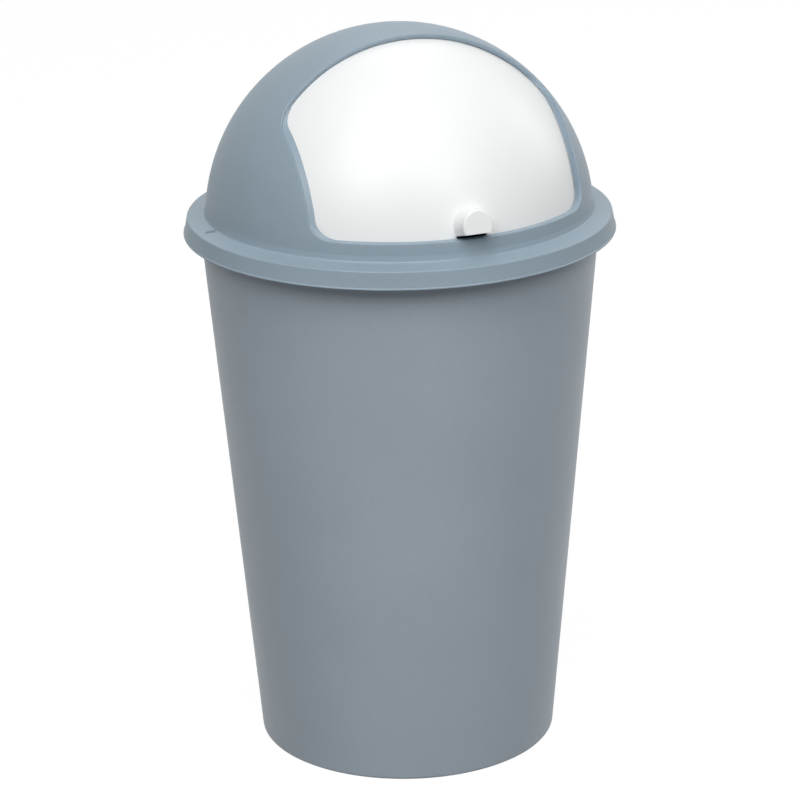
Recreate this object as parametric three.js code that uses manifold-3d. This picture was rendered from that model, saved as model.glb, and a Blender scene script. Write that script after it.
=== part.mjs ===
// A round kitchen waste bin, in millimetres, +Z up and the throw-in opening towards -Y.
// The origin is on the floor under the middle of the bucket.
// A tapered bucket carries a dome-shaped lid. A curved flap under the dome turns back on two pins
// when it is lifted by the hollow pull at its lower edge.
import * as THREE from "three";
import { mergeVertices, toCreasedNormals } from "three/addons/utils/BufferGeometryUtils.js";
import Module from "manifold-3d";

const wasm = await Module();
wasm.setup();

// Bucket
const footRadius = 139.2;
const mouthRadius = 183.5;
const bucketHeight = 508.5;
const bucketWall = 2.2;
const floorThickness = 2.6;
const floorRecess = 3;
const footRingWidth = 7;
const footCorner = 4;
const floorCorner = 6;

// Rim of the bucket, turned outwards and down
const rimReach = 7.2;
const rimThickness = 2.2;
const rimLipThickness = 2;
const rimDrop = 9;
const rimEdge = 0.8;

// Lid: a dome with a sloping flange that rests on the rim, a skirt outside it and a collar inside
const pivotDrop = 6.2;
const collarDepth = 16;
const collarGap = 1.7;
const domeWall = 2.3;
const seatGap = 0.3;
const flangeWall = 2.3;
const flangeSlopeShare = 0.228;
const skirtGap = 1.46;
const skirtWall = 2.2;
const skirtHeight = 14.9;
const skirtFlare = 3.8;
const skirtEdge = 0.8;
const creaseRounding = 3;
const domeFootRounding = 1.6;

// Opening in the dome: outer edge on the dome's skin, and inner edge of the lip turned inwards
const openingHalfWidth = 128.6;
const openingSill = 25.8;
const openingBack = 28.6;
const openingBow = 11.6;
const openingBowPower = 2.9;
const openingUpperCorner = 18;
const openingLowerCorner = 14;
const lipDepth = 4.3;
const lipWall = 2.2;
const lipSideStep = 5.1;
const lipSillStep = 0.6;
const lipBackStep = 1.7;
const lipBowStep = 1.4;

// Slots through the flange over the pivots
const slotInset = 0.8;
const slotLength = 9.5;
const slotWidth = 6.2;

// Flap
const flapGap = 0.7;
const flapWall = 2.2;
const flapUnderSill = 9;
const flapUnderBack = 14;
const earRadius = 13;
const earHoleGap = 0.3;

// Pivot pins, and the bosses inside the collar that hold them
const pinRadius = 4;
const pinHeadRadius = 7;
const pinHeadThickness = 2;
const pinHeadGap = 0.7;
const pinSeatGap = 0.2;
const pinTipRadius = 4.7;
const pinTipThickness = 1;
const pinTipGap = 0.3;
const bossRadius = 9;
const bossGap = 0.5;

// Finger pull: an arch-shaped hood, open below, clipped into a window in the flap
const pullBaseHalfWidth = 16.4;
const pullBaseHeight = 26.2;
const pullFaceHalfWidth = 13.8;
const pullFaceHeight = 21;
const pullReach = 17;
const pullFaceRounding = 1.8;
const pullWall = 1.8;
const pullBaseWall = 2.3;
const pullSeatGap = 0.3;
const pullStopGap = 0.4;
const windowLap = 0.9;
const windowGap = 0.3;
const windowUnderPull = 4.2;
const hookReach = 1.4;
const hookThickness = 1.2;

// Cuts run past the faces that they open by this much, and points closer than the weld are one
const overrun = 6;
const weld = 1e-4;

// Fineness of the round surfaces, and where the opening's bowed back edge has its points
const turnSteps = 56;
const arcStep = Math.PI / 28;
const cornerStep = Math.PI / 6;
const creaseAngle = Math.PI / 6;
const backSteps = 32;
const frontSteps = 44;
const archSteps = 12;
const smallTurnSteps = 20;
const backShares = [0.75, 0.55, 0.35, 0, -0.35, -0.55, -0.75];

// The opening's plug widens outwards until it is this many times the dome's size
const plugShare = 2;

const plasticColour = "#8c98a2";
const flapColour = "#f4f5f5";

// Sizes that follow from the ones above
const rimOuter = mouthRadius + rimReach;
const pivotHeight = bucketHeight - pivotDrop;
const collarBottom = pivotHeight - collarDepth;
const domeRadius = bucketRadius(collarBottom) - bucketWall - collarGap;
const domeInner = domeRadius - domeWall;
const creaseRadius = rimOuter + skirtGap + skirtWall;
const skirtRadius = creaseRadius + skirtFlare;
const lipRadius = domeRadius - lipDepth;
const flapRadius = lipRadius - flapGap;
const flapInner = flapRadius - flapWall;
const skinMiddle = domeRadius - domeWall / 2;
const lipHalfWidth = openingHalfWidth - lipSideStep;
const lipSill = openingSill + lipSillStep;
const lipBack = openingBack - lipBackStep;
const lipBow = openingBow - lipBowStep;

// The pull's own axis runs outwards from the pivots' middle, tilted up by this angle
const pullTilt = Math.asin((lipSill + pullStopGap) / lipRadius) + pullBaseHeight / 2 / flapRadius;
const pullFace = flapRadius + pullReach;
const pullBaseTop = pullBaseHeight / 2;
const pullBaseBottom = -pullBaseHeight / 2;
const pullFaceTop = pullFaceHeight / 2;
const pullFaceBottom = -pullFaceHeight / 2;
const windowHalfWidth = pullBaseHalfWidth - windowLap;
const windowTop = pullBaseTop - windowLap;
const windowBottom = pullBaseBottom - windowUnderPull;

// Outer radius of the bucket's wall at a height.
function bucketRadius(height) {
  return footRadius + ((mouthRadius - footRadius) * height) / bucketHeight;
}

// Height of the rim's sloping top at a radius.
function rimTop(radius) {
  return bucketHeight - flangeSlopeShare * (radius - mouthRadius);
}

// Heights of the lid's flange at a radius: its underside and its top.
function flangeUnderside(radius) {
  return rimTop(radius) + seatGap;
}

function flangeTop(radius) {
  return flangeUnderside(radius) + flangeWall;
}

// Radius at which the dome meets the top of the flange.
function domeFootRadius() {
  const slope = flangeSlopeShare;
  const lineAtAxis = flangeTop(0) - pivotHeight;
  const square = 1 + slope * slope;
  const under = (lineAtAxis * slope) ** 2 - square * (lineAtAxis ** 2 - domeRadius ** 2);
  return (lineAtAxis * slope + Math.sqrt(under)) / square;
}

// A closed geometry as a solid for joining and cutting.
function solid(geometry) {
  const bare = geometry.clone();
  bare.deleteAttribute("normal");
  bare.deleteAttribute("uv");
  const merged = mergeVertices(bare, weld);
  const mesh = new wasm.Mesh({
    numProp: 3,
    vertProperties: new Float32Array(merged.attributes.position.array),
    triVerts: new Uint32Array(merged.index.array),
  });
  return new wasm.Manifold(mesh);
}

// A named mesh from a solid.
function piece(name, made, colour, roughness) {
  const mesh = made.getMesh();
  const geometry = new THREE.BufferGeometry();
  geometry.setAttribute("position", new THREE.BufferAttribute(mesh.vertProperties, 3));
  geometry.setIndex(new THREE.BufferAttribute(mesh.triVerts, 1));
  const material = new THREE.MeshStandardMaterial({ color: colour, roughness, metalness: 0 });
  const part = new THREE.Mesh(toCreasedNormals(geometry, creaseAngle), material);
  part.name = name;
  return part;
}

// An outline from corners [x, y] or [x, y, radius]: a corner with a radius becomes an arc.
function rounded(corners) {
  const at = (i) => new THREE.Vector2(...corners[(i + corners.length) % corners.length]);
  return corners.flatMap(([, , radius], i) => {
    const corner = at(i);
    if (!radius) return [corner];
    const back = at(i - 1).sub(corner).normalize();
    const ahead = at(i + 1).sub(corner).normalize();
    const half = Math.acos(back.dot(ahead)) / 2;
    const middle = back.clone().add(ahead).normalize();
    const centre = corner.clone().addScaledVector(middle, radius / Math.sin(half));
    const start = corner.clone().addScaledVector(back, radius / Math.tan(half)).sub(centre);
    const turn = Math.sign(back.cross(ahead)) * (2 * half - Math.PI);
    const steps = Math.ceil(Math.abs(turn) / cornerStep);
    return Array.from({ length: steps + 1 }, (_, k) =>
      start.clone().rotateAround(new THREE.Vector2(), (turn * k) / steps).add(centre),
    );
  });
}

// Points of an arc about the pivot's height, from one elevation to another.
function arc(radius, from, to) {
  const steps = Math.ceil(Math.abs(to - from) / arcStep);
  return Array.from({ length: steps + 1 }, (_, k) => {
    const angle = from + ((to - from) * k) / steps;
    return [radius * Math.cos(angle), pivotHeight + radius * Math.sin(angle)];
  });
}

// A solid turned about the vertical axis from a profile of [radius, height].
function turned(corners) {
  const shape = new THREE.LatheGeometry(rounded(corners), turnSteps);
  return solid(shape.rotateX(Math.PI / 2));
}

// A ball about the pivot line, with its poles on that line.
function ball(radius) {
  const profile = arc(radius, -Math.PI / 2, Math.PI / 2).map(
    ([out, height]) => new THREE.Vector2(Math.max(out, 0), height - pivotHeight),
  );
  profile[0].x = 0;
  profile.at(-1).x = 0;
  const shape = new THREE.LatheGeometry(profile, turnSteps);
  return solid(shape.rotateZ(-Math.PI / 2).translate(0, 0, pivotHeight));
}

// A rod on the pivot line between two distances from the middle, on the side given by a sign.
function pivotRod(radius, from, to, side) {
  const shape = new THREE.CylinderGeometry(radius, radius, to - from, smallTurnSteps);
  shape.rotateZ(Math.PI / 2).translate((side * (from + to)) / 2, 0, pivotHeight);
  return solid(shape);
}

// A closed skin through rings of points, with a tip at each end that its cap rises to.
function loft(rings, tips) {
  const count = rings[0].length;
  const points = [...rings.flat(), ...tips];
  const faces = [];
  for (let i = 0; i < count; i++) {
    const next = (i + 1) % count;
    const last = (rings.length - 1) * count;
    faces.push(next, i, points.length - 2);
    faces.push(last + i, last + next, points.length - 1);
    for (let k = 0; k < rings.length - 1; k++) {
      const low = k * count;
      const high = low + count;
      faces.push(low + i, low + next, high + next);
      faces.push(low + i, high + next, high + i);
    }
  }
  const shape = new THREE.BufferGeometry().setFromPoints(points);
  shape.setIndex(faces);
  return shape;
}

// The opening's edge on a sphere about the pivot's middle, as a closed ring of points.
// Its back edge is a bowed line seen from above.
// Its sides and its sill are straight lines seen from the front.
function openingRing(halfWidth, sill, back, bow, radius, grow) {
  const wide = halfWidth + grow;
  const low = sill - grow;
  const behind = (share) => -(back - grow + bow * Math.abs(share) ** openingBowPower);
  const upperCorner = openingUpperCorner + grow;
  const lowerCorner = openingLowerCorner + grow;
  const backEdge = rounded([
    [wide, -radius],
    [wide, behind(1), upperCorner],
    ...backShares.map((share) => [wide * share, behind(share)]),
    [-wide, behind(1), upperCorner],
    [-wide, -radius],
  ]).slice(1, -1);
  const top = Math.sqrt(radius ** 2 - wide ** 2 - backEdge[0].y ** 2);
  const frontEdge = rounded([
    [-wide, top],
    [-wide, low, lowerCorner],
    [wide, low, lowerCorner],
    [wide, top],
  ]);
  const overTop = new THREE.Path(backEdge)
    .getSpacedPoints(backSteps)
    .map(({ x, y }) => new THREE.Vector3(x, y, Math.sqrt(radius ** 2 - x ** 2 - y ** 2)));
  const acrossFront = new THREE.Path(frontEdge)
    .getSpacedPoints(frontSteps)
    .slice(1, -1)
    .map(({ x, y }) => new THREE.Vector3(x, -Math.sqrt(radius ** 2 - x ** 2 - y ** 2), y));
  return [...overTop, ...acrossFront];
}

// A tapering plug through the dome that has the opening's outline, or one that is grown all round.
function openingPlug(grow) {
  const outer = openingRing(openingHalfWidth, openingSill, openingBack, openingBow, domeRadius, grow);
  const inner = openingRing(lipHalfWidth, lipSill, lipBack, lipBow, lipRadius, grow);
  const scaled = (ring, share) => ring.map((point) => point.clone().multiplyScalar(share));
  const inwardShare = 1 - overrun / domeRadius;
  const rings = [scaled(inner, inwardShare), inner, outer, scaled(outer, plugShare)];
  const tip = (share) => new THREE.Vector3(0, -domeRadius * share, domeRadius * share);
  return solid(loft(rings, [tip(inwardShare / 2), tip(plugShare)]).translate(0, 0, pivotHeight));
}

// Bucket: one turned shell with a foot ring below and a rim turned outwards above.
function binBody() {
  const floorTop = floorRecess + floorThickness;
  const footInner = footRadius - footCorner - footRingWidth;
  const rimUnder = (radius) => rimTop(radius) - rimThickness;
  const lipInner = rimOuter - rimLipThickness;
  const rimBottom = rimTop(rimOuter) - rimDrop;
  const mouthInner = mouthRadius - bucketWall;
  return turned([
    [0, floorRecess],
    [footInner, floorRecess],
    [footInner, 0],
    [footRadius, 0, footCorner],
    [bucketRadius(rimUnder(mouthRadius)), rimUnder(mouthRadius)],
    [lipInner, rimUnder(lipInner)],
    [lipInner, rimBottom],
    [rimOuter, rimBottom],
    [rimOuter, rimTop(rimOuter), rimEdge],
    [mouthInner, rimTop(mouthInner), rimEdge],
    [bucketRadius(floorTop) - bucketWall, floorTop, floorCorner],
    [0, floorTop],
  ]);
}

// Dome, collar, flange and skirt as one turned shell, before the opening is cut.
function lidShell() {
  const foot = domeFootRadius();
  const footAngle = Math.asin((flangeTop(foot) - pivotHeight) / domeRadius);
  const skirtTop = flangeTop(creaseRadius);
  const skirtBottom = skirtTop - skirtHeight;
  const skirtInner = creaseRadius - skirtWall;
  return turned([
    ...arc(domeInner, Math.PI / 2, 0).map(([out, height]) => [Math.max(out, 0), height]),
    [domeInner, collarBottom],
    [domeRadius, collarBottom],
    [domeRadius, flangeUnderside(domeRadius)],
    [skirtInner, flangeUnderside(skirtInner)],
    [skirtRadius - skirtWall, skirtBottom],
    [skirtRadius, skirtBottom, skirtEdge],
    [creaseRadius, skirtTop, creaseRounding],
    [foot, flangeTop(foot), domeFootRounding],
    ...arc(domeRadius, footAngle, Math.PI / 2)
      .slice(1)
      .map(([out, height]) => [Math.max(out, 0), height]),
  ]);
}

// The lip that turns inwards round the opening.
function openingLip() {
  const behindSkin = ball(skinMiddle).subtract(ball(lipRadius));
  return openingPlug(lipWall).intersect(behindSkin);
}

// A slot through the flange, over the pivot on one side.
function flangeSlot(side) {
  const from = domeRadius + slotInset;
  const middle = from + slotLength / 2;
  const shape = new THREE.BoxGeometry(slotLength, slotWidth, flangeWall + overrun);
  shape.translate(side * middle, 0, flangeTop(middle));
  return solid(shape);
}

// The whole lid: shell, lip, pin bosses with their bores, and the two slots.
function domeLid() {
  let lid = lidShell().add(openingLip()).subtract(openingPlug(0));
  for (const side of [-1, 1]) {
    const boss = pivotRod(bossRadius, flapRadius + bossGap, skinMiddle, side);
    const bore = pivotRod(pinRadius + pinSeatGap, flapRadius, domeRadius + overrun, side);
    lid = lid.add(boss).subtract(bore).subtract(flangeSlot(side));
  }
  return lid;
}

// The wedge about the pivot line that the flap fills, seen from the side.
function flapWedge() {
  const low = Math.asin(lipSill / lipRadius) - flapUnderSill / flapRadius;
  const high = Math.acos(lipBack / lipRadius) + flapUnderBack / flapRadius;
  const reach = flapRadius + overrun;
  const corner = reach / Math.cos((high - low) / 4);
  const outline = new THREE.Shape();
  outline.moveTo(0, 0);
  for (const angle of [low, (low + high) / 2, high]) {
    outline.lineTo(corner * Math.cos(angle), corner * Math.sin(angle));
  }
  const shape = new THREE.ExtrudeGeometry(outline, { depth: 2 * reach, bevelEnabled: false });
  shape.translate(0, 0, -reach).rotateX(Math.PI / 2).rotateZ(-Math.PI / 2);
  return solid(shape.translate(0, 0, pivotHeight));
}

// A geometry made beside the pull's own axis, which runs outwards along Z, set in its place.
function placedOnPull(shape) {
  return solid(shape.rotateX(Math.PI / 2 - pullTilt).translate(0, 0, pivotHeight));
}

// An arch-shaped ring across the pull's axis: flat below and half round above.
function archRing(halfWidth, bottom, top, distance) {
  const at = (x, y) => new THREE.Vector3(x, y, distance);
  const ring = [at(-halfWidth, bottom), at(halfWidth, bottom)];
  for (let k = 0; k <= archSteps; k++) {
    const angle = (Math.PI * k) / archSteps;
    ring.push(at(halfWidth * Math.cos(angle), top - halfWidth + halfWidth * Math.sin(angle)));
  }
  return ring;
}

// An arch-shaped block through rings of [half width, bottom, top, distance from the pivot's middle].
function archBlock(...sizes) {
  const rings = sizes.map((size) => archRing(...size));
  const tip = ([, bottom, top, distance]) => new THREE.Vector3(0, (bottom + top) / 2, distance);
  return placedOnPull(loft(rings, [tip(sizes[0]), tip(sizes.at(-1))]));
}

// A curved shell with an ear round each pivot pin and a window behind the pull.
function slidingFlap() {
  const inside = flapInner - overrun;
  const outside = flapRadius + overrun;
  let blank = flapWedge();
  for (const side of [-1, 1]) {
    blank = blank.add(pivotRod(earRadius, inside, outside, side));
  }
  let flap = ball(flapRadius).subtract(ball(flapInner)).intersect(blank);
  for (const side of [-1, 1]) {
    flap = flap.subtract(pivotRod(pinRadius + earHoleGap, inside, outside, side));
  }
  const window = archBlock(
    [windowHalfWidth, windowBottom, windowTop, inside],
    [windowHalfWidth, windowBottom, windowTop, outside],
  );
  return flap.subtract(window);
}

// The hood as it would be if solid, from inside the flap's wall to its rounded face.
function hoodBlock() {
  const round = pullFaceRounding;
  const softened = round * (1 - Math.SQRT1_2);
  return archBlock(
    [pullBaseHalfWidth, pullBaseBottom, pullBaseTop, flapInner],
    [pullFaceHalfWidth, pullFaceBottom, pullFaceTop, pullFace - round],
    [pullFaceHalfWidth - softened, pullFaceBottom, pullFaceTop - softened, pullFace - softened],
    [pullFaceHalfWidth - round, pullFaceBottom, pullFaceTop - round, pullFace],
  );
}

// The hollow under the hood, open below and through to the back.
function hoodHollow() {
  const under = pullBaseBottom - overrun;
  return archBlock(
    [pullBaseHalfWidth - pullBaseWall, under, pullBaseTop - pullBaseWall, flapInner - overrun],
    [pullBaseHalfWidth - pullBaseWall, under, pullBaseTop - pullBaseWall, flapRadius],
    [pullFaceHalfWidth - pullWall, under, pullFaceTop - pullWall, pullFace - pullWall],
  );
}

// The pull: its hood outside the flap, a neck through the window and a hooked edge behind it.
function fingerPull() {
  const inside = flapInner - overrun;
  const neckSize = [windowHalfWidth - windowGap, pullBaseBottom, windowTop - windowGap];
  const hookSize = [windowHalfWidth + hookReach, pullBaseBottom, windowTop + hookReach];
  const hookBack = flapInner - pullSeatGap;
  const hood = hoodBlock().subtract(ball(flapRadius + pullSeatGap));
  const neck = archBlock([...neckSize, inside], [...neckSize, flapRadius + pullWall]);
  const hook = archBlock([...hookSize, inside], [...hookSize, flapRadius]).intersect(ball(hookBack));
  const behind = neck.add(hook).subtract(ball(hookBack - hookThickness));
  return hood.add(behind).subtract(hoodHollow());
}

// A pin pushed outwards through the flap's ear into the boss, with a snap tip behind the collar.
function pivotPin(side) {
  const headFace = flapInner - pinHeadGap;
  const tipFrom = domeRadius + pinTipGap;
  const tipTo = tipFrom + pinTipThickness;
  return pivotRod(pinHeadRadius, headFace - pinHeadThickness, headFace, side)
    .add(pivotRod(pinRadius, headFace - pinHeadThickness / 2, tipTo, side))
    .add(pivotRod(pinTipRadius, tipFrom, tipTo, side));
}

const bin = new THREE.Group();
bin.add(piece("bin_body", binBody(), plasticColour, 0.55));
bin.add(piece("dome_lid", domeLid(), plasticColour, 0.5));
bin.add(piece("sliding_flap", slidingFlap(), flapColour, 0.4));
bin.add(piece("finger_pull", fingerPull(), flapColour, 0.4));
bin.add(piece("pivot_pin_left", pivotPin(-1), plasticColour, 0.5));
bin.add(piece("pivot_pin_right", pivotPin(1), plasticColour, 0.5));

export default bin;
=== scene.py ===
"""A round kitchen waste bin with a dome lid and a roll-back flap, dressed round its packed model.

Everything is in metres with +Z up. The throw-in opening faces -Y, and the origin is on the floor
under the middle of the bucket. The dome is part of a ball about the middle of the line on which
the flap turns, and each sheet of the ball is made about that point.
"""

from math import acos, asin, cos, pi, radians, sin, sqrt, tan

import bmesh
import bpy
import numpy as np
from bpy.props import FloatProperty, FloatVectorProperty, PointerProperty
from mathutils import Matrix, Vector


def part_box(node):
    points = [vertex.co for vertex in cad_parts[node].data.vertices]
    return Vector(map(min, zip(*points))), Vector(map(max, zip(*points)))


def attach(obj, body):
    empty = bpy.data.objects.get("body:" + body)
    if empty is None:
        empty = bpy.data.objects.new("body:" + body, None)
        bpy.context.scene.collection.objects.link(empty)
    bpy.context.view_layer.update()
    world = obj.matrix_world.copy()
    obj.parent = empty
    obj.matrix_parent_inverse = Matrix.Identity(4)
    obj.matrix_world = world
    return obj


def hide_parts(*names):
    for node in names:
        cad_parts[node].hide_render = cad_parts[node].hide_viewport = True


bl_info = {
    "name": "Dome-lid waste bin",
    "version": (1, 0, 0),
    "blender": (4, 5, 0),
    "location": "View3D > Sidebar > Waste bin",
    "description": "Builds a round waste bin with a dome lid, a roll-back flap and its studio",
    "category": "Add Mesh",
}

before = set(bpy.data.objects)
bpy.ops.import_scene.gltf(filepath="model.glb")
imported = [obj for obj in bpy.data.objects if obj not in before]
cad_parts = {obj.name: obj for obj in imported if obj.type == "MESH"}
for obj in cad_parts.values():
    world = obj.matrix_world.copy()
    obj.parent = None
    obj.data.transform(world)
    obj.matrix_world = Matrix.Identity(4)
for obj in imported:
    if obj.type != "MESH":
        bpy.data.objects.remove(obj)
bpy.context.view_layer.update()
bucket_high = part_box("bin_body")[1]
lid_low, lid_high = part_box("dome_lid")

# How far the skirt stays inside the CAD model's box
BOX_MARGIN = 0.00001

# Columns of faces round the lid, the bucket and the small turned pieces
LID_COLUMNS = 360
BUCKET_STEPS = 240
PIN_STEPS = 48

# Columns along half the opening's edge: sill, side and back
OPENING_COLUMNS = (47, 38, 95)

# Steps along each line and corner of the opening's edge, and the length of a step along its back
LINE_STEPS = 60
CORNER_STEPS = 12
BACK_STEP = 0.003

# Rows of faces over the dome, outside and inside
DOME_ROWS = 36
LINING_ROWS = 24

# Steps across and along the flap, from an ear's hole to its edge, and round the rest of the ear
FLAP_ACROSS = 86
FLAP_ALONG = 42
EAR_ACROSS = 5
EAR_ROUND = 140

# Steps along the pull's arch and its sides, and the share of its width that a foot turns in by
ARCH_STEPS = 20
SIDE_STEPS = 6
SIDE_TURN_IN = 0.09

# Corners closer than WELD become one, and edges that bend more than SHARP_ANGLE are shaded sharp
WELD = 1e-6
SHARP_ANGLE = radians(38)

# Changes of colour and gloss, strength of the grain, and shine of the grey and white plastics
GRAINED = {"clouds": 0.035, "mottle": 0.045, "gloss": 0.06, "bump": 0.55, "specular": 0.4}
SMOOTH = {"clouds": 0.008, "mottle": 0.006, "gloss": 0.04, "bump": 0.12, "specular": 0.3}

# Width of the clouds in the plastic, and of its mottling for each width of a grain
CLOUD_WIDTH = 0.12
MOTTLE_GRAINS = 2.2

# Soft square lamps of (name, place, power), which all shine at one point
LAMPS = (
    ("left", (-2.21, -1.99, 3.08), 59),
    ("front", (0.55, -3.01, 2.97), 49),
    ("top", (-0.63, -1.36, 4.11), 56),
    ("right", (3.67, 0.52, 1.9), 27),
    ("back", (0.96, 2.38, 3.46), 13),
)
LAMP_TARGET = (0, 0, 0.4)
LAMP_SIZE = 1.9

# The camera's place, and how it is turned to the side, down and about its line of sight
CAMERA_PLACE = (-1.0634, -2.6997, 1.34025)
CAMERA_ASIDE = radians(-21.45)
CAMERA_DOWN = radians(90 - 19.30)
CAMERA_ROLL = radians(-0.975)
CAMERA_FAR = 50

WHITE = (1.0, 1.0, 1.0, 1.0)


def length(name, default, description):
    """A size in metres that a user can change."""
    return FloatProperty(
        name=name, description=description, default=default, min=0.0, precision=4, unit="LENGTH"
    )


def share(name, default, description):
    """A share from 0 to 1 that a user can change."""
    return FloatProperty(
        name=name, description=description, default=default, min=0.0, max=1.0, subtype="FACTOR"
    )


def tint(name, default, description):
    """A colour that a user can change."""
    return FloatVectorProperty(
        name=name, description=description, default=default, min=0.0, max=1.0, size=3,
        subtype="COLOR",
    )


class BucketSizes(bpy.types.PropertyGroup):
    """Sizes of the bucket."""

    foot_radius: length("Foot radius", 0.1392, "Radius of the bucket at the floor")
    mouth_radius: length("Mouth radius", 0.1835, "Radius of the bucket's wall at the top")
    height: length("Height", 0.5085, "Height of the rim over the floor")
    wall: length("Wall", 0.0022, "Thickness of the bucket's wall")
    floor_top: length("Floor", 0.0056, "Height of the inside of the bucket's floor")
    recess: length("Floor recess", 0.003, "How far the floor stays over the foot ring")
    ring_width: length("Foot ring", 0.007, "Width of the ring that the bucket stands on")
    foot_rounding: length("Foot rounding", 0.003, "Rounding of the foot's outer edge")
    floor_rounding: length("Floor rounding", 0.006, "Rounding between the floor and the wall")
    rim_radius: length("Rim radius", bucket_high.x, "Outer radius of the turned-out rim")
    rim_thickness: length("Rim thickness", 0.0022, "Thickness of the turned-out rim")
    rim_lip: length("Rim lip", 0.002, "Thickness of the lip that the rim turns down into")
    rim_drop: length("Rim drop", 0.009, "Height of the lip that the rim turns down into")
    rim_rounding: length("Rim rounding", 0.0008, "Rounding of the rim's edges")


class LidSizes(bpy.types.PropertyGroup):
    """Sizes of the dome lid."""

    dome_radius: length("Dome radius", 0.177666, "Radius of the dome's outside")
    dome_wall: length("Dome wall", 0.0023, "Thickness of the dome's wall")
    pivot_height: length("Pivot height", 0.5023, "Height of the line that the flap turns on")
    collar_bottom: length("Collar bottom", lid_low.z, "Height of the collar's lower edge")
    flange_wall: length("Flange wall", 0.0023, "Thickness of the sloping flange")
    seat_gap: length("Seat gap", 0.0003, "Gap between the flange and the bucket's rim")
    crease_radius: length("Crease radius", 0.19436, "Radius at which the flange turns down")
    skirt_height: length("Skirt height", 0.016, "Height of the skirt under the flange")
    skirt_wall: length("Skirt wall", 0.0022, "Thickness of the skirt")
    crease_bevel: length("Crease bevel", 0.001, "Width of the rounding over the skirt")
    skirt_bevel: length("Skirt bevel", 0.0006, "Width of the roundings of the skirt's bead")
    bead_height: length("Bead height", 0.0014, "Height of the bead along the skirt's edge")
    bead_reach: length("Bead reach", 0.0009, "How far the bead stands out from the skirt")
    foot_fillet: length("Dome foot fillet", 0.0014, "Width of the hollow at the dome's foot")
    foot_reach: length("Dome foot reach", 0.0009, "How far the dome's foot flares out")
    foot_drop: length("Dome foot drop", 0.0006, "How much the flange sinks towards the dome")
    flange_slope: share("Flange slope", 0.228, "Drop of the flange for each length outwards")
    slot_length: length("Slot length", 0.0088, "Length of the slot beside each pivot")
    slot_width: length("Slot width", 0.0052, "Width of the slot beside each pivot")
    slot_forward: length("Slot place", 0.0028, "How far the slots are in front of the pivots")
    slot_turn: FloatProperty(
        name="Slot turn", description="How far the slots' inner ends are turned to the front",
        default=radians(28), subtype="ANGLE",
    )


class OpeningSizes(bpy.types.PropertyGroup):
    """Sizes of the throw-in opening and the lip round it."""

    half_width: length("Half width", 0.13, "Half the opening's width at the dome's skin")
    sill: length("Sill", 0.0258, "Height of the sill over the pivot line")
    back: length("Back", 0.0286, "Distance of the back edge in front of the dome's top")
    bow: length("Bow", 0.0116, "How far the back edge comes forward at its ends")
    upper_corner: length("Upper corners", 0.018, "Radius of the two upper corners")
    lower_corner: length("Lower corners", 0.014, "Radius of the two lower corners")
    lip_depth: length("Lip depth", 0.0046, "How far the lip turns inwards")
    side_step: length("Side step", 0.0065, "How far the lip leans in at the sides")
    sill_step: length("Sill step", 0.0006, "How far the lip leans in at the sill")
    back_step: length("Back step", 0.0017, "How far the lip leans in at the back")
    bow_step: length("Bow step", 0.0014, "How much less the lip's inner edge is bowed")
    lip_root: length("Lip root", 0.0048, "Thickness of the lip where it leaves the dome")
    edge_bevel: length("Edge bevel", 0.001, "Width of the rounding of the opening's edge")
    ledge_bevel: length("Ledge bevel", 0.0004, "Width of the roundings of the ledge")
    ledge_step: share("Ledge step", 0.17, "Share of the lip's lean above its ledge")
    ledge_depth: share("Ledge depth", 0.55, "Share of the lip's depth above its ledge")


class FlapSizes(bpy.types.PropertyGroup):
    """Sizes of the flap and its pivot pins."""

    radius: length("Flap radius", 0.172666, "Radius of the flap's outside")
    wall: length("Flap wall", 0.0022, "Thickness of the flap")
    under_sill: length("Under the sill", 0.009, "How far the flap goes on under the sill")
    under_back: length("Under the back", 0.014, "How far the flap goes on under the back edge")
    ear_radius: length("Ear radius", 0.013, "Radius of the ear round each pin")
    ear_hole: length("Ear hole", 0.0043, "Radius of the hole in each ear")
    edge_bevel: length("Edge bevel", 0.0005, "Width of the rounding of the flap's edges")
    pin_radius: length("Pin radius", 0.004, "Radius of each pivot pin")
    pin_head: length("Pin head", 0.007, "Radius of each pin's head")
    pin_tip: length("Pin tip", 0.0047, "Radius of each pin's snap tip")
    boss_radius: length("Boss radius", 0.009, "Radius of the boss that holds each pin")


class PullSizes(bpy.types.PropertyGroup):
    """Sizes of the finger pull."""

    base_half_width: length("Base half width", 0.0164, "Half the pull's width at the flap")
    base_height: length("Base height", 0.0262, "Height of the pull at the flap")
    base_lift: length("Base lift", 0.0016, "How far the pull's sides stay over the sill")
    face_half_width: length("Face half width", 0.0138, "Half the width of the pull's face")
    face_height: length("Face height", 0.021, "Height of the pull's face")
    reach: length("Reach", 0.017, "How far the pull stands out from the flap")
    face_bevel: length("Face bevel", 0.0018, "Width of the rounding round the face")
    wall: length("Pull wall", 0.0018, "Thickness of the pull's wall")


class PlasticLook(bpy.types.PropertyGroup):
    """Colours and grain of the mouldings."""

    bucket: tint("Bucket plastic", (0.4, 0.469, 0.53), "Colour of the bucket")
    lid: tint("Lid plastic", (0.282, 0.36, 0.425), "Colour of the lid, a little bluer")
    white: tint("White plastic", (0.8, 0.8, 0.8), "Colour of the flap and its pull")
    grey_roughness: share("Grey roughness", 0.45, "Roughness of the grained grey plastic")
    white_roughness: share("White roughness", 0.5, "Roughness of the smooth white plastic")
    grain: length("Grain", 0.0009, "Width of one grain of the moulded surface")
    grain_depth: length("Grain depth", 0.00003, "Depth of the moulded grain")


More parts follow.
